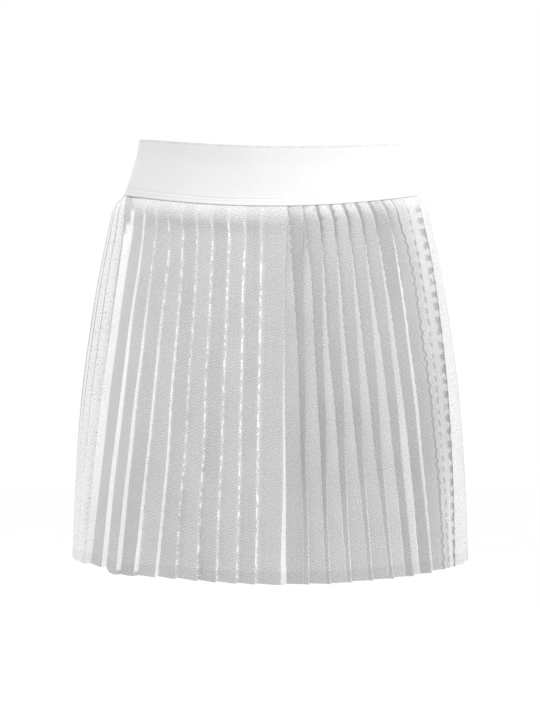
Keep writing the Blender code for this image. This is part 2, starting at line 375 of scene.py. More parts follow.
def pleated_cloth():
    """Fine white sports knit with staggered dots, pressed into pleats, with painted
    light and shade from the mesh's marks.
    """
    n = Nodes("pleated_cloth")
    uv = n.add("ShaderNodeUVMap", uv_map="cloth").outputs["UV"]
    split = n.add("ShaderNodeSeparateXYZ")
    n.link(uv, split.inputs[0])
    u, v = split.outputs[0], split.outputs[1]

    def mark(name):
        return n.add("ShaderNodeAttribute", attribute_name=name).outputs["Fac"]

    # staggered small dots, and the knit's own slanting ribs and courses
    across = n.math("ADD", u, n.math("MULTIPLY", v, 0.13))
    down = n.math("SUBTRACT", v, n.math("MULTIPLY", u, 0.08))
    dots = n.math("MULTIPLY", n.sine(across, 0.0031), n.sine(down, 0.0031))
    holes = n.ramp(dots, 0.25, 0.85, 0.0, 1.0, soft=True)
    half = n.ramp(u, 0.385, 0.395, 0.36, -0.50)
    slant = n.math("SUBTRACT", n.math("MULTIPLY", v, 0.93),
                   n.math("MULTIPLY", u, half))
    bent = n.math("MULTIPLY", n.noise(uv, 45.0, 1.0, 0.5), 0.0060)
    twill = n.sine(n.math("ADD", slant, bent), 0.0023)
    patchy = n.ramp(n.noise(uv, 260.0, 1.0, 0.5), 0.35, 0.65, 0.35, 1.0)
    holes = n.math("MULTIPLY", holes, patchy)
    knit = n.math("MULTIPLY", n.math("ADD", n.sine(u, 0.0012),
                                     n.sine(v, 0.0014)), 0.5)
    speck = n.noise(uv, 700.0, 2.0, 0.65)
    cloud = n.noise(uv, 26.0, 3.0, 0.55)
    # the tone mark carries painted light and shade: lighter strips, painted shade
    # lines and painted light in the valleys
    shade = n.math("MULTIPLY", mark("tone"), n.ramp(holes, 0.0, 1.0, 1.04, 0.82))
    shade = n.math("MULTIPLY", shade, n.ramp(twill, -1.0, 1.0, 0.935, 1.065))
    shade = n.math("MULTIPLY", shade, n.ramp(knit, -1.0, 1.0, 0.98, 1.02))
    shade = n.math("MULTIPLY", shade, n.ramp(speck, 0.3, 0.7, 0.87, 1.13))
    shade = n.math("MULTIPLY", shade, n.ramp(cloud, 0.3, 0.7, 0.97, 1.03))
    # painted highlight: whiter cloth on the puffed roll under the seam and at the
    # sides, with a speckled edge
    rough = n.math("MULTIPLY", n.math("SUBTRACT", speck, 0.5), 1.3)
    puff = n.ramp(n.math("ADD", mark("puff"), rough), 0.05, 0.95, 0.0, 1.0)
    shade = n.math("MULTIPLY", shade, n.ramp(puff, 0.0, 1.0, 1.0, 1.40))
    # grey specks scattered over the more strongly painted highlight
    spot = n.add("ShaderNodeCombineXYZ")
    n.link(n.math("MULTIPLY", u, 300.0), spot.inputs[0])
    n.link(n.math("MULTIPLY", v, 450.0), spot.inputs[1])
    grey_specks = n.ramp(n.noise(spot.outputs[0], 1.0, 1.0, 0.5), 0.60, 0.70, 0.0, 0.34)
    grey_specks = n.math("MULTIPLY", grey_specks, n.ramp(mark("puff"), 0.40, 0.80, 0.0, 1.0))
    shade = n.math("MULTIPLY", shade, n.math("SUBTRACT", 1.0, grey_specks))
    # painted highlight on the fold edges, broken up into dashes where the fold is
    # half closed
    spot = n.add("ShaderNodeCombineXYZ")
    n.link(n.math("MULTIPLY", u, 120.0), spot.inputs[0])
    n.link(n.math("MULTIPLY", v, 135.0), spot.inputs[1])
    long = n.noise(spot.outputs[0], 1.0, 3.0, 0.7)
    gaps = n.ramp(long, 0.51, 0.54, 1.0, 0.0)
    broken = n.math("MULTIPLY", mark("broken"), gaps)
    fold = n.math("MULTIPLY", mark("fold"), n.math("SUBTRACT", 1.0, broken))
    shade = n.math("MULTIPLY", shade, n.ramp(fold, 0.0, 1.0, 1.0, 1.76))
    # painted shade in small dark blocks at the sides, where under-layers show
    # through
    wobble = n.math("MULTIPLY", n.math("SUBTRACT", long, 0.5), 9.0)
    block = n.math("ADD", n.sine(v, 0.0112), wobble)
    block = n.math("MULTIPLY", n.ramp(block, -0.3, 0.0, 0.0, 1.0),
                   mark("lace"))
    shade = n.math("MULTIPLY", shade, n.ramp(block, 0.0, 1.0, 1.0, 0.64))
    # painted shade: a row of small dark dashes along the right_10 and right_11
    # ridges
    dash = n.math("ADD", n.sine(v, 0.0102, 1.0), wobble)
    dash = n.math("MULTIPLY", n.ramp(dash, -0.1, 0.3, 0.0, 1.0), mark("dots"))
    shade = n.math("MULTIPLY", shade, n.ramp(dash, 0.0, 1.0, 1.0, 0.72))
    shade = n.math("MULTIPLY", shade, 0.525)
    shade = n.math("MINIMUM", shade, 0.93)
    colour = n.add("ShaderNodeCombineColor")
    n.link(shade, colour.inputs[0])
    n.link(shade, colour.inputs[1])
    n.link(n.math("MULTIPLY", shade, 1.004), colour.inputs[2])
    n.link(colour.outputs[0], n.shader.inputs["Base Color"])
    bump = n.add("ShaderNodeBump")
    bump.inputs["Strength"].default_value = 0.35
    bump.inputs["Distance"].default_value = 0.00025
    tall = n.math("SUBTRACT", n.math("MULTIPLY", knit, 0.5), holes)
    tall = n.math("ADD", tall, n.math("MULTIPLY", speck, 0.4))
    n.link(tall, bump.inputs["Height"])
    n.link(bump.outputs[0], n.shader.inputs["Normal"])
    n.link(n.ramp(holes, 0.0, 1.0, 0.82, 0.95), n.shader.inputs["Roughness"])
    n.shader.inputs["Sheen Weight"].default_value = 0.25
    n.shader.inputs["Sheen Roughness"].default_value = 0.4
    n.shader.inputs["Specular IOR Level"].default_value = 0.25
    return n.mat


def band_cloth():
    """Smooth double jersey over elastic."""
    n = Nodes("waistband_jersey")
    uv = n.add("ShaderNodeUVMap", uv_map="cloth").outputs["UV"]
    split = n.add("ShaderNodeSeparateXYZ")
    n.link(uv, split.inputs[0])
    u, v = split.outputs[0], split.outputs[1]
    rib = n.sine(u, 0.0009)
    row = n.sine(v, 0.0011)
    speck = n.noise(uv, 1100.0, 2.0, 0.6)
    cloud = n.noise(uv, 30.0, 3.0, 0.5)
    # the tone mark carries painted shade: stitch grooves, the rolled rim, the lower
    # edge and the turned sides
    tone = n.add("ShaderNodeAttribute", attribute_name="tone").outputs["Fac"]
    shade = n.math("MULTIPLY", tone, n.ramp(rib, -1.0, 1.0, 0.99, 1.01))
    shade = n.math("MULTIPLY", shade, n.ramp(speck, 0.3, 0.7, 0.985, 1.015))
    shade = n.math("MULTIPLY", shade, n.ramp(cloud, 0.3, 0.7, 0.99, 1.01))
    shade = n.math("MULTIPLY", shade, 0.672)
    shade = n.math("MINIMUM", shade, 0.93)
    colour = n.add("ShaderNodeCombineColor")
    for k in range(3):
        n.link(shade, colour.inputs[k])
    n.link(colour.outputs[0], n.shader.inputs["Base Color"])
    bump = n.add("ShaderNodeBump")
    bump.inputs["Strength"].default_value = 0.25
    bump.inputs["Distance"].default_value = 0.00015
    tall = n.math("ADD", rib, n.math("MULTIPLY", row, 0.5))
    tall = n.math("ADD", tall, speck)
    n.link(tall, bump.inputs["Height"])
    n.link(bump.outputs[0], n.shader.inputs["Normal"])
    n.link(n.ramp(speck, 0.3, 0.7, 0.55, 0.68), n.shader.inputs["Roughness"])
    n.shader.inputs["Sheen Weight"].default_value = 0.2
    n.shader.inputs["Sheen Roughness"].default_value = 0.4
    n.shader.inputs["Specular IOR Level"].default_value = 0.3
    return n.mat


def thread():
    """Twisted polyester sewing thread."""
    n = Nodes("sewing_thread")
    where = n.add("ShaderNodeTexCoord").outputs["Object"]
    twist = n.add("ShaderNodeTexWave", wave_type="BANDS",
                  bands_direction="DIAGONAL")
    n.link(where, twist.inputs["Vector"])
    twist.inputs["Scale"].default_value = 900.0
    fac = twist.outputs["Fac"]
    shade = n.ramp(fac, 0.0, 1.0, 0.74, 0.82)
    colour = n.add("ShaderNodeCombineColor")
    for k in range(3):
        n.link(shade, colour.inputs[k])
    n.link(colour.outputs[0], n.shader.inputs["Base Color"])
    bump = n.add("ShaderNodeBump")
    bump.inputs["Strength"].default_value = 0.3
    bump.inputs["Distance"].default_value = 0.0001
    n.link(fac, bump.inputs["Height"])
    n.link(bump.outputs[0], n.shader.inputs["Normal"])
    n.link(n.ramp(fac, 0.0, 1.0, 0.5, 0.6), n.shader.inputs["Roughness"])
    return n.mat


CLOTH = pleated_cloth()
JERSEY = band_cloth()
THREAD = thread()


# ------------------------------------------------------------- pleated panels
def levels():
    """Heights of the rows at the sides."""
    out = []
    z = -0.0251
    for step, end in ((0.0014, -0.0455), (0.0022, -0.080),
                      (0.0034, -0.338), (0.0022, -0.3595)):
        while z > end:
            out.append(z)
            z -= step
    out.append(HEM)
    return out


ROWS = levels()
TUCK = ((0.0042, 0.0011), (0.0022, 0.0010), (0.0008, 0.0009))  # up, inwards
FOLD_ANGLES = {f[0]: smooth(FOLD_HEIGHTS, f[1:]) for f in FRONT_FOLDS}
STEP_AT = smooth(SHOWN_HEIGHTS, STEP_SHIFT)
OPEN_AT = smooth(OPEN_HEIGHTS, OPEN_SHIFT)
SHOWN_AT = {k: smooth(SHOWN_HEIGHTS, v) for k, v in SHOWN.items()}
SHARES = {k: smooth(SHARE_HEIGHTS, v) for k, v in LIGHT_SHARES.items()}
STRIP_AT = smooth(FOLD_HEIGHTS, STRIP_TONES)
LINE_AT = smooth(FOLD_HEIGHTS, LINE_TONES)
FACE_AT = smooth(FOLD_HEIGHTS, FACE_TONES)
LIFT_AT = smooth([p[0] for p in HEM_LIFT], [p[1] for p in HEM_LIFT])
EYE = 1.769                  # viewing distance the shares were read at

RIDGE_ROUND, VALLEY_ROUND, CREASE_HALF = 0.0007, 0.0007, 0.0002
PLEAT_CLOTH = 0.030          # cloth to each pleat, with its folded-under part


def bezier(p0, p1, p2, t):
    return tuple((1 - t) ** 2 * a + 2 * t * (1 - t) * b + t * t * c
                 for a, b, c in zip(p0, p1, p2))


def front_list():
    """Name and ridge-angle function of every front pleat, left to right."""
    left0, right0 = FOLD_ANGLES["left_0"], FOLD_ANGLES["right_11"]
    out = []
    for k in range(1, LEFT_SIDE_PLEATS):
        t = k / LEFT_SIDE_PLEATS
        out.append(("left_side_%d" % k,
                    lambda z, t=t: -90 + (left0(z) + 90) * t))
    out += [(f[0], FOLD_ANGLES[f[0]]) for f in FRONT_FOLDS]
    for k in range(1, RIGHT_SIDE_PLEATS + 1):
        t = k / RIGHT_SIDE_PLEATS
        out.append(("right_side_%d" % k,
                    lambda z, t=t: right0(z) + (90 - right0(z)) * t))
    return out


def back_list():
    return [("back_%d" % (k + 1),
             lambda z, k=k: 90 + 180 * (k + 1) / BACK_PLEATS)
            for k in range(BACK_PLEATS)]


def panel(name, start, pleats, seed):
    count = len(pleats)
    sway = [Waves(seed + 11 * k, ROWS, 0.16) for k in range(count + 1)]
    ripple = [Waves(seed + 500 + 11 * k, ROWS, 0.014, 4)
              for k in range(count + 1)]
    deep = [Waves(seed + 900 + 11 * k, ROWS, 0.11) for k in range(count + 1)]
    bulge = [Waves(seed + 1300 + 11 * k, ROWS, 0.09) for k in range(count + 1)]
    fine = [Waves(seed + 1700 + 11 * k, ROWS, 0.006) for k in range(count + 1)]
    keys = ("tone", "puff", "fold", "broken", "lace", "dots")
    marks = {key: [] for key in keys}
    grid, cloth_u = [], []
    front = start < 0
    for r, z in enumerate(ROWS):
        sec = section(SKIRT, z)
        loose = min(1.0, max(0.0, (-0.030 - z) / 0.05))
        at_hem = z < HEM + 0.0108
        low = min(1.0, max(0.0, (-0.325 - z) / 0.035))
        ring, along = [], []
        row = {key: [] for key in keys}

        def put(l, h, **values):
            ring.append((foot, st, l, h))
            across = l - width if l <= width else math.hypot(l - width, h)
            along.append(PLEAT_CLOTH * k + across)
            for key in keys:
                row[key].append(values.get(key, 1.0 if key == "tone" else 0.0))

        prev_angle, prev_depth, shift = start, sec[6], 0.0
        foot = start + (0.0005 + 0.5 * SEAM_GAP) / stretch(sec, start)
        came, before = None, {}
        for k, (pleat, angle_at) in enumerate(pleats):
            last = k == count - 1
            angle = math.radians(angle_at(z))
            st = stretch(sec, angle)
            shares = SHARES.get(pleat)
            wavy = ripple[k][r] * loose
            if not last:
                amount = 0.00035 * sway[k][r] * loose + 0.00008 * wavy
                if pleat == "right_9":
                    amount += 0.0032 * (0.5 - abs(math.sin(
                        math.pi * z / 0.0097 + 0.5 * wavy))) * loose
                elif pleat in ("right_10", "right_11"):
                    amount += 0.0007 * wavy
                angle += amount / st
            depth = sec[6] * (1.0 + 0.10 * deep[k][r] * loose)
            if pleat.startswith("left"):
                flat = min(1.0, max(0.0, (-0.029 - z) / 0.024))
                depth *= 0.28 + 0.72 * flat
            elif front:
                flat = min(1.0, max(0.0, (-0.030 - z) / 0.050))
                depth *= 0.50 + 0.50 * flat
                if pleat in ("right_9", "right_10", "right_11"):
                    depth *= 1.0 - 0.55 * min(1.0, max(0.0, (-0.12 - z) / 0.15))
            if pleat == "left_0":
                depth = 0.0010 + 0.0044 * loose
            elif pleat.startswith("left_side"):
                depth *= 0.10
            # how far the painted highlight on the puffed roll reaches down from the
            # seam
            reach = -0.0365 - 0.0040 * math.cos(angle) ** 2
            top = 0.42 * min(1.0, max(0.0, (z - reach) / (-0.0265 - reach)))
            ridge_top = top
            if angle > 0.13:
                top = 0.75 * min(1.0, max(0.0, (z + 0.0370) / 0.0105))
                ridge_top = 0.75 * min(1.0, max(0.0, (z + 0.0405) / 0.0120))
            width = max(0.002, (angle - foot) * st)
            # painted highlight at the sides: the side pleats and the ends of the
            # back panel are painted whiter
            side_puff = 0.0
            if pleat in ("left_side_2", "left_side_3", "left_0"):
                side_puff = 0.84
            elif pleat in ("right_side_1", "right_side_2"):
                side_puff = 0.62
            elif pleat == "left_side_1":
                side_puff = 0.40
            elif not front:
                n = min(k, count - 1 - k)
                ends = ((0.45, 0.40, 0.30, 0.15) if k < 4
                        else (0.66, 0.54, 0.35, 0.15))
                side_puff = ends[n] if n < 4 else 0.0
            base_puff = max(side_puff, top)
            ridge_puff = max(side_puff, ridge_top)

            # painted light and shade: tones of the light part, the line beside it
            # and the rest
            if shares:
                gains = TONE_GAINS[pleat]
                high = min(1.0, max(0.0, (z + 0.15) / 0.08))
                deep_end = min(1.0, max(0.0, (-0.24 - z) / 0.10))
                at_end = 1.0 + (gains[4] - 1.0) * deep_end
                light = STRIP_AT(z) * gains[0]
                if pleat in ("right_2", "right_3"):
                    light = max(light, 0.86)
                if pleat == "right_3":
                    light *= 1.0 - 0.08 * min(1.0, max(0.0, (z + 0.22) / 0.08))
                light *= 1.0 + {"right_2": -0.06, "right_5": -0.035,
                                "right_6": -0.06, "right_8": 0.14}.get(
                    pleat, 0.0) * min(1.0, max(0.0, (-0.19 - z) / 0.05))
                line = LINE_AT(z) * gains[1] * at_end
                dark = (FACE_AT(z) * gains[2] * at_end
                        * (1.0 + (gains[3] - 1.0) * high))
                rough = 0.090 if z > -0.070 else 0.055 if z > -0.15 else 0.025
                jag = 0.5 * ripple[k][r] + 0.7 * fine[k][r]
                share_seen = shares(z) + rough * jag
                rise = -0.05 + 0.5 * max(0.0, min(0.7, share_seen))
                want = min(0.93, max(0.02, share_seen))
                p0 = on_oval(sec, prev_angle)
                p1 = on_oval(sec, angle)
                x0, x1 = p0[0] / (EYE + p0[1]), p1[0] / (EYE + p1[1])
                goal = x0 + (x1 - x0) * want
                lo, hi = 0.0, 1.0
                for _ in range(14):
                    mid = 0.5 * (lo + hi)
                    p = on_oval(sec, foot + (angle - foot) * mid,
                                prev_depth * (1 - rise))
                    if p[0] / (EYE + p[1]) < goal:
                        lo = mid
                    else:
                        hi = mid
                share = min(0.94, max(0.06, 0.5 * (lo + hi)))
                light_puff = side_puff
            else:
                light = 1.0
                # painted shade under the puffed roll and down the centre front
                if front:
                    under = math.exp(-((z + 0.0425) / 0.0055) ** 2)
                    light -= 0.12 * under * max(0.0, math.cos(2.2 * (
                        angle + math.radians(22))))
                    centre = math.exp(-((angle - 0.02) / 0.14) ** 2)
                    light -= centre * (0.13 - 0.06 * min(1.0, max(
                        0.0, (-0.16 - z) / 0.10)))
                # painted shade: some left faces darker, and darker towards the hem
                deep_end = min(1.0, max(0.0, (-0.20 - z) / 0.11))
                light *= 1.0 - deep_end * {"left_1": 0.03, "left_2": 0.04,
                                           "left_3": 0.10}.get(pleat, 0.0)
                light *= {"left_5": 0.96, "left_7": 0.94}.get(pleat, 1.0)
                line = dark = light
                share, rise = 0.5, 0.5
                light_puff = base_puff
            # painted light in the valley, against the shade that falls there
            first = 1.12 * light if not shares else light
            outer_tone = dark
            # painted light and shade on the side pleats: whiter on the left, darker
            # on the right, and darker towards the side seams
            if pleat == "left_side_1":
                first, light, line, dark = 0.78, 0.82, 0.88, 0.97
                outer_tone = 1.06
            elif pleat == "right_side_3":
                first, light, line, dark = 1.14, 1.10, 1.03, 0.94
                outer_tone = 0.77
            elif pleat == "left_side_2":
                first, light, line, dark = 1.22, 1.08, 1.06, 1.08
                outer_tone = dark
            elif pleat in ("left_side_3", "left_0"):
                first, light, line = 1.24, 1.08, 1.08
                if pleat == "left_side_3":
                    dark = outer_tone = 1.08
            elif pleat == "right_side_1":
                first = light = line = dark = outer_tone = 0.92
            elif pleat == "right_side_2":
                first = light = line = dark = 0.92
                outer_tone = 0.86
            if pleat in ("right_10", "right_11"):
                light = line = dark
                first = light
                light_puff = base_puff = ridge_puff = 0.5 * base_puff
            # painted shade blocks down the right_11 face
            lace = 0.0
            if pleat == "right_11":
                lace = min(1.0, max(0.0, (-0.028 - z) / 0.01))
            crease = width * share
            crease_in = prev_depth * (1.0 - rise)

            def face(l, w=width, c=crease, d=prev_depth, ci=crease_in,
                     b=bulge[k][r]):
                if l < c:
                    t = l / c
                    h = d + (ci - d) * t
                    h -= 0.00025 * (0.6 + 0.4 * b) * 4 * t * (1 - t)
                else:
                    t = (l - c) / (w - c)
                    h = ci * (1 - t)
                    h -= 0.0001 * 4 * t * (1 - t) * (1 + 0.5 * b)
                return h

            # painted highlight: the ridge and the face's edge beside it lighter
            # towards the hem
            crisp = 1.0
            if (shares and z < -0.22
                    and pleat not in ("right_9", "right_10", "right_11")):
                crisp = 1.0 + 0.34 * min(1.0, (-0.22 - z) / 0.05)
            vr = min(VALLEY_ROUND, 0.25 * crease)
            rr = min(0.0004 if shares else RIDGE_ROUND, 0.3 * (width - crease))
            ch = min(CREASE_HALF, 0.3 * crease, 0.3 * (width - crease))
            # valley middle, between the step before and this face
            root = first
            v_out = (vr, face(vr))
            if came is not None:
                mid = bezier(came, (0.0, prev_depth), v_out, 0.5)
                put(mid[0], mid[1], tone=0.5 * (before["tone"] + root),
                    puff=light_puff, fold=0.8 * before["fold"],
                    broken=before["broken"])
            else:
                put(0.0, prev_depth, tone=root, puff=light_puff)
            inner = crease - ch
            put(vr, face(vr), tone=root, puff=light_puff)
            for q in (0.36, 0.70):
                l = vr + (inner - vr) * q
                if q > 0.5:
                    l = max(l, inner - 0.0009)
                put(l, face(l), tone=light, puff=light_puff)
            # painted highlight: a thin lighter line at the edge of the light strip
            # towards the hem
            edge = 1.0
            if shares and z < -0.27:
                edge = 1.0 + 0.26 * min(1.0, (-0.27 - z) / 0.04)
            put(inner, face(inner), tone=light * edge, puff=light_puff)
            rest = width - rr - crease - ch
            put(crease + ch, face(crease + ch), tone=line,
                puff=side_puff if shares else base_puff)
            if shares:
                l = crease + ch + min(0.0007 if z > -0.07 else 0.0011,
                                      0.3 * rest)
                put(l, face(l), tone=0.3 * line + 0.7 * dark, puff=base_puff)
            l = crease + ch + rest * 0.45
            put(l, face(l), tone=dark, puff=base_puff, lace=lace)
            end = crease + ch + rest
            if pleat in ("right_9", "right_10"):
                # painted shade along the fold's edge: a dark line, or a row of small
                # dark dashes
                for back_by, painted_line in ((0.0030, 0), (0.0021, 1)):
                    l = max(end - back_by, crease + ch + rest * 0.6)
                    shaded = 1.06
                    if painted_line and pleat == "right_9":
                        top_end = min(1.0, max(0.0, (z + 0.080) / 0.03))
                        shaded = 0.82 - 0.20 * top_end
                        back_by += 0.0012 * top_end
                    put(l, face(l), tone=dark * shaded, puff=ridge_puff,
                        dots=1.0 if painted_line and pleat == "right_10" else 0.0)
            else:
                l = crease + ch + rest * 0.75
                edge_at, last_tone = 0.0003, outer_tone * crisp
                # painted shade: a darker edge before the right_11 ridge
                if pleat == "right_11":
                    l, edge_at = end - min(0.0032, 0.3 * rest), 0.0012
                    last_tone = outer_tone * 0.70
                elif shares:
                    l = max(l, end - 0.0010)
                put(l, face(l), tone=outer_tone, puff=ridge_puff, lace=lace)
                if shares:
                    l = end - edge_at
                    put(l, face(l), tone=last_tone, puff=ridge_puff,
                        lace=lace)

            # the ridge: an arc from the face onto the step
            if last:
                shift = 0.0005 - 0.5 * SEAM_GAP
            elif pleat == "right_1":
                shift = OPEN_AT(z) * MM
            elif pleat in SHOWN_AT:
                shown = SHOWN_AT[pleat](z) * MM
                shift = (shown - depth * math.sin(-angle)) / math.cos(angle)
                shift = min(0.013, max(-0.003, shift))
                if int(pleat[-1]) >= 3:
                    shift += 0.00042 * ripple[k + 1][r] * loose
            else:
                shift = STEP_AT(z) * MM
            ln = math.hypot(shift, depth)
            step = (shift / ln, depth / ln)
            r2 = min(rr, 0.3 * ln)
            start_pt = (width - rr, face(width - rr))
            tip = (width, 0.0)
            end_pt = (width + step[0] * r2, step[1] * r2)
            # Tones of the step: painted light on the left side steps and painted
            # shade on some others; the fold edges carry the painted highlight
            back = {"tone": 1.0, "fold": 0.0, "broken": 0.0, "puff": 0.0}
            if pleat in BROKEN:
                a, b, rate = BROKEN[pleat]
                t = min(1.0, max(0.0, rate * (-0.05 - z) / 0.30))
                back["broken"] = a + (b - a) * t
                back["fold"] = min(1.0, max(0.0, (-0.036 - z) / 0.006))
                hang = min(1.0, max(0.0, (-0.10 - z) / 0.12))
                high_tone, low_tone = {
                    "left_1": (1.05, 1.05), "left_2": (0.98, 1.02),
                    "left_3": (0.93, 1.05), "left_4": (0.93, 1.02),
                }.get(pleat, (0.93, 0.97))
                back["tone"] = high_tone + (low_tone - high_tone) * hang
                if pleat in ("left_2", "left_3") and z < HEM + 0.0048:
                    back["fold"] = 0.0
            elif pleat == "left_0":
                back["fold"] = min(1.0, max(0.0, (-0.054 - z) / 0.006))
                back["tone"] = 0.92
            elif pleat == "right_1":
                back["fold"] = min(1.0, max(0.0, (-0.10 - z) / 0.10))
                back["tone"] = 0.72
            elif front and pleat.startswith("left_side"):
                back["puff"] = side_puff
                back["tone"] = 1.24 if side_puff else 0.86
            elif not front:
                back["fold"] = 0.35 if k % 4 else 0.55
                back["broken"] = (0.9, 0.5, 0.7, 0.3)[k % 4]
            # painted shade: darker lines along the ridges, strongest on left_0,
            # right_9 and right_11
            rim = dark * 0.95 if shares else dark
            if pleat in ("right_side_2", "right_side_3"):
                rim = 0.70
            if pleat == "left_0":
                rim = dark * (0.66 + 0.30 * min(1.0, max(0.0, (-0.10 - z) / 0.1)))
            dots = 0.0
            if pleat == "right_9":
                rim = dark * 0.80
                back["tone"] = 0.90
            elif pleat == "right_10":
                dots = 1.0
                back["tone"] = 1.0 - 0.30 * min(1.0, max(0.0, (-0.17 - z) / 0.08))
            elif pleat == "right_11":
                rim, dots = dark * 0.72, 0.35
            for t, mix in ((0.0, 0.0), (0.4, 0.0), (0.75, 0.5), (1.0, 1.0)):
                p = bezier(start_pt, tip, end_pt, t)
                tone = rim * (1 - mix) + back["tone"] * mix
                if t < 0.5:
                    tone *= crisp
                put(p[0], p[1], tone=tone,
                    puff=ridge_puff * (1 - mix) + back["puff"] * mix,
                    fold=back["fold"] * mix, broken=back["broken"], dots=dots,
                    lace=lace if t < 0.5 else 0.0)
            # down the step
            v2 = min(VALLEY_ROUND, 0.25 * ln)
            for n, q in enumerate((0.5 * (r2 + ln - v2), ln - v2)):
                if pleat == "left_0":
                    edge = -0.046 if n == 0 else -0.034
                    back = dict(back, fold=min(1.0, max(0.0, (edge - z)
                                                        / 0.004)))
                put(width + step[0] * q, step[1] * q, **back)
            came = (-step[0] * v2, depth - step[1] * v2)
            if last:
                put(width + shift, depth, **back)
            before = back
            prev_angle, prev_depth = angle, depth
            foot = angle + shift / stretch(sec, angle)
        points = []
        here = -1.0
        for base, st, l, h in ring:
            a = base + l / st
            x, y, zz = on_oval(sec, a, h)
            if low > 0:
                w = low * low * (3 - 2 * low)
                if front:
                    zz += LIFT_AT(math.degrees(a)) * MM * w
                here = l
                zz -= 0.02 * l * w
            points.append((x, y, zz))
        grid.append(points)
        cloth_u.append(along)
        for key in keys:
            values = np.array(row[key])
            # painted shade along the hem, where the cloth is double
            if key == "tone" and at_hem:
                values = values * 0.93
            marks[key].append(values)
    grid = np.array(grid)
    marks = {key: np.array(v) for key, v in marks.items()}
    # seam allowance: the top edge squeezed flat and tucked up into the band
    sec = section(SKIRT, ROWS[0])
    tucked = []
    for up, inward in TUCK:
        row = []
        for x, y, zz in grid[0]:
            angle = math.atan2(x / sec[3], -y / (sec[4] if y <= 0 else sec[5]))
            rim = on_oval(sec, angle)
            inside = math.hypot(rim[0] - x, rim[1] - y)
            held = section(BAND, BAND_LOW + (BAND_TOP - BAND_LOW) * up / 0.0498)
            px, py, pz = on_oval(held, angle, inward + 0.10 * inside)
            row.append((px, py, zz + up))
        tucked.append(row)
    grid = np.concatenate([np.array(tucked), grid])
    marks = {key: np.concatenate([np.repeat(v[:1], len(TUCK), axis=0), v])
             for key, v in marks.items()}
    # cloth coordinates: every ridge is one pressed fold of the cloth
    rows, cols = grid.shape[:2]
    u = np.array([cloth_u[0]] * len(TUCK) + cloth_u)
    v = np.concatenate([np.zeros((1, cols)), np.cumsum(
        np.linalg.norm(np.diff(grid, axis=0), axis=2).mean(
            axis=1, keepdims=True).repeat(cols, axis=1), axis=0)])
    uv = np.stack([u, -v], axis=2)
    thick = np.full(rows, 0.00045)
    thick[:len(TUCK)] = 0.0004
    for r in range(rows):
        if r >= len(TUCK) and ROWS[r - len(TUCK)] < HEM + 0.0108:
            thick[r] = 0.0009
    obj = shell(name, grid, thick, uv, marks)
    obj.data.materials.append(CLOTH)
    area = 0.0
    for r in range(rows - 1):
        wide = np.linalg.norm(np.diff(grid[r], axis=0), axis=1)
        tall = np.linalg.norm(grid[r + 1] - grid[r], axis=1)
        area += float((wide * 0.5 * (tall[1:] + tall[:-1])).sum())
    print(name, "tris", 2 * len(obj.data.polygons), "outer area", round(area, 4),
          "developed hem", round(float(np.linalg.norm(
              np.diff(grid[-1], axis=0), axis=1).sum()), 4))
    return obj


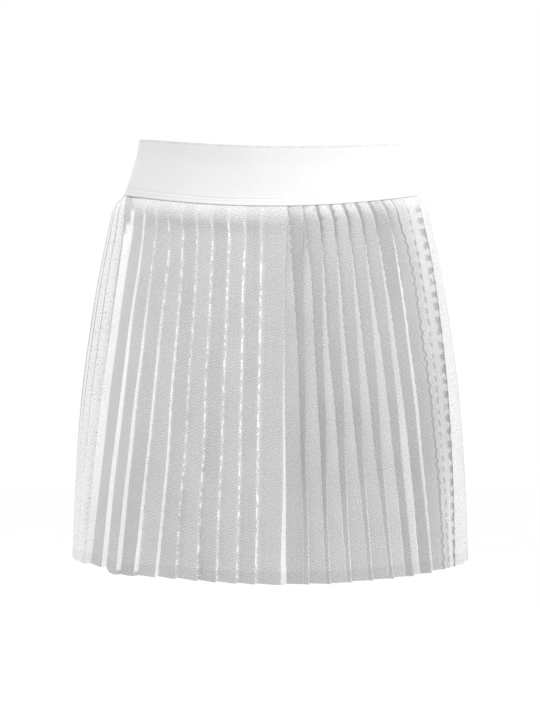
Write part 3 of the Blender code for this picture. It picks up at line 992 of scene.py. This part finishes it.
# ------------------------------------------------------------------ waistband
def band(name, start, end, seed):
    """A folded strip: outer layer, rolled rim, inner layer, open below for
    the panel's top edge."""
    columns = 170
    gap = 0.5 * SEAM_GAP
    # outer side from the seam up: height above the seam, how far out
    outer = [(0.00000, -0.00050), (0.00010, -0.00015), (0.00040, 0.00006),
             (0.0010, 0.00014), (0.0018, 0.00016), (0.0026, 0.00014),
             (0.0031, 0.00005), (0.0034, 0.00000), (0.0037, 0.00005),
             (0.0043, 0.00014), (0.0052, 0.00015), (0.0058, 0.00010),
             (0.0062, -0.00003), (0.0065, -0.00012), (0.0068, -0.00003),
             (0.0073, 0.00006), (0.0080, 0.00010)]
    z = 0.0105
    while z < 0.0475:
        outer.append((z, 0.00010))
        z += 0.0028
    top = 0.0498
    rim = []
    r = 0.0011
    for k in range(9):
        a = math.pi * k / 8
        rim.append((top - r + r * math.sin(a), -r + r * math.cos(a)))
    inner = []
    z = 0.0462
    while z > 0.003:
        inner.append((z, -0.0022))
        z -= 0.0036
    inner += [(0.0016, -0.0022), (0.0010, -0.00212), (0.0008, -0.0019),
              (0.0010, -0.00168), (0.0016, -0.00160)]
    z = 0.0080
    while z < 0.0465:
        inner.append((z, -0.00160))
        z += 0.0055
    inner += [(0.0475, -0.00150), (0.0480, -0.00115), (0.0475, -0.00080)]
    z = 0.0440
    while z > 0.006:
        inner.append((z, -0.00070))
        z -= 0.0055
    inner += [(0.0016, -0.00070), (0.0004, -0.00070)]
    path = outer + rim + inner
    total = BAND_TOP - BAND_LOW
    rng = np.random.RandomState(40 + seed)
    # painted grey shade along the rolled top rim, uneven from column to column
    rim_shade = 0.79 + 0.13 * rng.rand(columns + 1)
    verts, tone, uvs = [], [], []
    for c in range(columns + 1):
        t = c / columns
        angle = start + (end - start) * t
        length = 0.0
        for i, (up, out) in enumerate(path):
            level = BAND_LOW + total * min(1.0, up / top)
            sec = section(BAND, level)
            g = gap / stretch(sec, angle)
            a = min(max(angle, start + g), end - g)
            share = up / top
            tilt = -RIM_TILT * share * math.sin(a)
            soft = (0.00030 * math.sin(5.0 * a + seed)
                    + 0.00022 * math.sin(11.0 * a + 2.1 * seed)
                    ) * math.sin(math.pi * min(1.0, share))
            p = on_oval(sec, a, -(out + soft), tilt)
            verts.append(p)
            if i:
                length += math.hypot(up - path[i - 1][0], out - path[i - 1][1])
            uvs.append((t * 0.37, length))
            # painted shade in the two stitch grooves
            painted_shade = 1.0
            if out > -0.001 and 0.0061 < up < 0.0069:
                painted_shade = 0.95
            elif out > -0.001 and 0.0030 < up < 0.0038:
                painted_shade = 0.975
            # painted shadow along the band's lower edge, lighter towards the right
            seam_shadow = 1.0
            if i <= 2:
                seam_shadow = 0.70 + 0.14 * min(1.0, max(0.0, a / 0.3))
            if len(outer) <= i < len(outer) + 5:
                painted_shade = rim_shade[c]
            elif i < len(outer):
                # painted shade on the outer side where the band turns away at the
                # sides
                turned = abs(math.degrees(math.remainder(a, math.pi)))
                painted_shade *= 1.0 - 0.13 * min(1.0, max(0.0, (turned - 82) / 5))
            tone.append(painted_shade * seam_shadow)
    n = len(path)
    faces = []
    for c in range(columns):
        for i in range(n):
            j = (i + 1) % n
            faces.append((c * n + i, (c + 1) * n + i,
                          (c + 1) * n + j, c * n + j))
    faces.append(tuple(range(n)))
    faces.append(tuple(columns * n + i for i in reversed(range(n))))
    obj = from_lists(name, verts, faces)
    mesh = obj.data
    layer = mesh.uv_layers.new(name="cloth")
    for loop in mesh.loops:
        layer.data[loop.index].uv = uvs[loop.vertex_index]
    att = mesh.attributes.new("tone", "FLOAT", "POINT")
    att.data.foreach_set("value", np.array(tone, dtype=np.float32))
    mesh.materials.append(JERSEY)
    return obj


def band_stitches(name, start, end, seed):
    """One row of coverstitch lying in the groove above the seam."""
    rng = np.random.RandomState(seed)
    up = 0.0065
    total = BAND_TOP - BAND_LOW
    sec = section(BAND, BAND_LOW + total * up / 0.0498)
    verts, faces = [], []
    angle = start + 0.0016 / stretch(sec, start)
    sides, rings = 6, 5
    while True:
        st = stretch(sec, angle)
        ln = 0.0025 + 0.0003 * (rng.rand() - 0.5)
        if angle + ln / st > end - 0.0012 / st:
            break
        base = len(verts)
        drift = 0.00008 * (rng.rand() - 0.5)
        for q in range(rings):
            t = q / (rings - 1)
            a = angle + ln * t / st
            lift = 0.00008 * math.sin(math.pi * t) - 0.00010
            rad = 0.00014 * (0.5 + 0.5 * math.sin(math.pi * (0.12 + 0.76 * t)))
            for s in range(sides):
                w = 2 * math.pi * s / sides
                x, y, z = on_oval(sec, a, 0.00005 - lift - rad * math.cos(w),
                                  -RIM_TILT * (up / 0.0498) * math.sin(a)
                                  + drift + rad * math.sin(w))
                verts.append((x, y, z))
        for q in range(rings - 1):
            for s in range(sides):
                s2 = (s + 1) % sides
                faces.append((base + q * sides + s, base + (q + 1) * sides + s,
                              base + (q + 1) * sides + s2,
                              base + q * sides + s2))
        faces.append(tuple(base + s for s in range(sides)))
        faces.append(tuple(base + (rings - 1) * sides + s
                           for s in reversed(range(sides))))
        angle += (ln + 0.0002) / st
    obj = from_lists(name, verts, faces)
    obj.data.materials.append(THREAD)
    return obj


# ------------------------------------------------------------------ the pieces
skirt_front = panel("pleated_panel_front", -SIDE, front_list(), 3)
skirt_back = panel("pleated_panel_back", SIDE, back_list(), 71)
band_front = band("waistband_strip_front", -SIDE, SIDE, 1)
band_back = band("waistband_strip_back", SIDE, 3 * SIDE, 2)
stitch_front = band_stitches("waistband_stitches_front", -SIDE, SIDE, 5)
stitch_back = band_stitches("waistband_stitches_back", SIDE, 3 * SIDE, 6)

for piece, node, slot in (
        (skirt_front, "skirt_front", "pleated_cloth"),
        (skirt_back, "skirt_back", "pleated_cloth"),
        (band_front, "waistband_front", "waistband"),
        (band_back, "waistband_back", "waistband"),
        (stitch_front, None, "waistband"),
        (stitch_back, None, "waistband")):
    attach(piece, "root")
    if node:
        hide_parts(node)


# -------------------------------------------------------- floor, lights, view
def floor():
    n = Nodes("studio_floor")
    where = n.add("ShaderNodeTexCoord").outputs["Object"]
    grain = n.noise(where, 6.0, 3.0, 0.5)
    shade = n.ramp(grain, 0.3, 0.7, 0.980, 0.990)
    colour = n.add("ShaderNodeCombineColor")
    for k in range(3):
        n.link(shade, colour.inputs[k])
    n.link(colour.outputs[0], n.shader.inputs["Base Color"])
    n.shader.inputs["Roughness"].default_value = 1.0
    n.shader.inputs["Specular IOR Level"].default_value = 0.0
    size, z = 6.0, -1.05
    obj = from_lists("studio_floor",
                     [(-size, -size, z), (size, -size, z),
                      (size, size, z), (-size, size, z)], [(0, 1, 2, 3)], False)
    obj.data.materials.append(n.mat)


def soft_light(name, azimuth, elevation, distance, share, size, spread=180):
    """A disc softbox aimed at the skirt; share is what it adds to a surface
    that faces it, next to the 1.0 of the surrounding white."""
    data = bpy.data.lights.new(name, "AREA")
    data.shape = "DISK"
    data.size = size
    data.energy = share * math.pi * math.pi * distance * distance
    data.spread = math.radians(spread)
    obj = bpy.data.objects.new(name, data)
    a, e = math.radians(azimuth), math.radians(elevation)
    way = Vector((math.sin(a) * math.cos(e), -math.cos(a) * math.cos(e),
                  math.sin(e)))
    obj.location = Vector((0, 0, -0.15)) + way * distance
    obj.rotation_mode = "QUATERNION"
    obj.rotation_quaternion = (-way).to_track_quat("-Z", "Y")
    bpy.context.scene.collection.objects.link(obj)


floor()
for light in LIGHTS:
    soft_light(*light)

world = bpy.data.worlds.new("studio_white")
bpy.context.scene.world = world
world.use_nodes = True
back = world.node_tree.nodes["Background"]
back.inputs["Color"].default_value = (1.0, 1.0, 1.0, 1.0)
back.inputs["Strength"].default_value = DOME

scene = bpy.context.scene
scene.view_settings.view_transform = "Standard"
scene.view_settings.look = "None"
scene.view_settings.exposure = 0.0
scene.view_settings.gamma = 1.0

camera_data = bpy.data.cameras.new("camera")
camera_data.lens = 95.1
camera_data.sensor_width = 36.0
camera_data.sensor_fit = "AUTO"
camera = bpy.data.objects.new("camera", camera_data)
scene.collection.objects.link(camera)
camera.location = (-0.00047, -1.769, -0.0745)
camera.rotation_euler = (math.radians(90.0) - math.atan(110 / 1902), 0.0, 0.0)
scene.camera = camera
